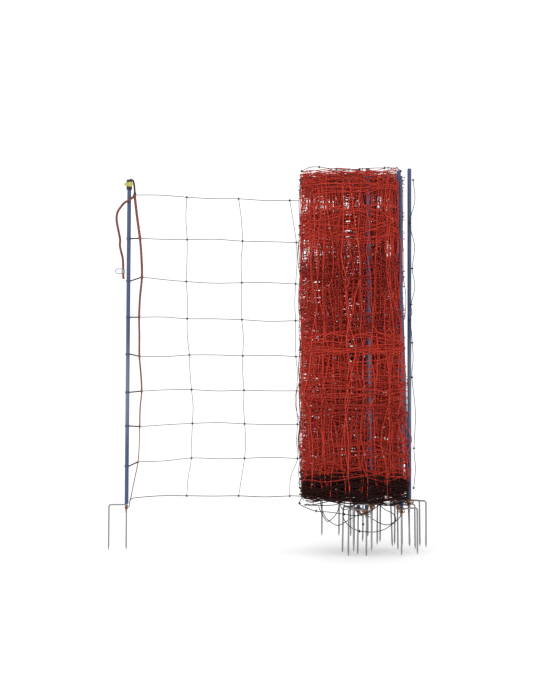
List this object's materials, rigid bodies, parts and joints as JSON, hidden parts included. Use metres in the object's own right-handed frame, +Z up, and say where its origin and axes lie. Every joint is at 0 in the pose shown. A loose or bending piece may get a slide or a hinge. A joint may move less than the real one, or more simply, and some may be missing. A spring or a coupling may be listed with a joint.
{
  "type": "sheep netting",
  "caption": "Electric sheep netting folded upright round its plastic posts with steel double spikes, one end post drawn out with a panel of square mesh.",
  "frame": {"origin": "centre of the bounding box in plan, at the floor that the lowest spike points stand on, measured without the free lead cord and its clip", "axes": "+X from the drawn-out end post towards the folded net, +Z up along the posts, +Y away from the viewer of the folded net's front leaf"},
  "size_m": [1.1184, 0.2596, 1.3534],
  "materials": {
    "live_strand": "red-orange twisted polywire, dull",
    "base_strand": "black twisted polyethylene strand, dull",
    "post_plastic": "slate blue plastic, satin",
    "spike_steel": "galvanised, dull grey",
    "black_plastic": "moulded, satin",
    "yellow_plastic": "moulded, satin",
    "tie_twine": "orange-brown twine, dull"
  },
  "bodies": {
    "root": {"folded_net": "live_strand", "folded_base_strands": "base_strand", "hanging_loop_1": "base_strand", "hanging_loop_2": "base_strand", "hanging_loop_3": "base_strand", "folded_post_1_stake": "post_plastic", "folded_post_1_double_spike": "spike_steel", "folded_post_2_stake": "post_plastic", "folded_post_2_double_spike": "spike_steel", "folded_post_3_stake": "post_plastic", "folded_post_3_double_spike": "spike_steel", "folded_post_4_stake": "post_plastic", "folded_post_4_double_spike": "spike_steel", "folded_post_5_stake": "post_plastic", "folded_post_5_double_spike": "spike_steel", "folded_post_6_stake": "post_plastic", "folded_post_6_double_spike": "spike_steel", "folded_post_7_stake": "post_plastic", "folded_post_7_double_spike": "spike_steel", "folded_post_8_stake": "post_plastic", "folded_post_8_double_spike": "spike_steel", "folded_post_9_stake": "post_plastic", "folded_post_9_double_spike": "spike_steel", "folded_post_10_stake": "post_plastic", "folded_post_10_double_spike": "spike_steel", "folded_post_11_stake": "post_plastic", "folded_post_11_double_spike": "spike_steel", "folded_post_12_stake": "post_plastic", "folded_post_12_double_spike": "spike_steel", "last_post_stake": "post_plastic", "last_post_double_spike": "spike_steel", "end_post_stake": "post_plastic", "end_post_double_spike": "spike_steel", "end_post_cap": "black_plastic", "end_post_cap_lever": "yellow_plastic", "end_post_clip_1": "black_plastic", "end_post_clip_2": "black_plastic", "end_post_clip_3": "black_plastic", "end_post_clip_4": "black_plastic", "end_post_clip_5": "black_plastic", "end_post_clip_6": "black_plastic", "end_post_clip_7": "black_plastic", "end_cord": "live_strand", "base_strand": "base_strand", "live_strand_1": "live_strand", "live_strand_2": "live_strand", "live_strand_3": "live_strand", "live_strand_4": "live_strand", "live_strand_5": "live_strand", "live_strand_6": "live_strand", "live_strand_7": "live_strand", "live_strand_8": "live_strand", "upright_strand_1": "live_strand", "upright_strand_2": "live_strand", "upright_strand_3": "live_strand", "lead_cord": "live_strand", "lead_clip": "spike_steel", "end_post_foot_tie": "tie_twine"}
  },
  "joints": []
}
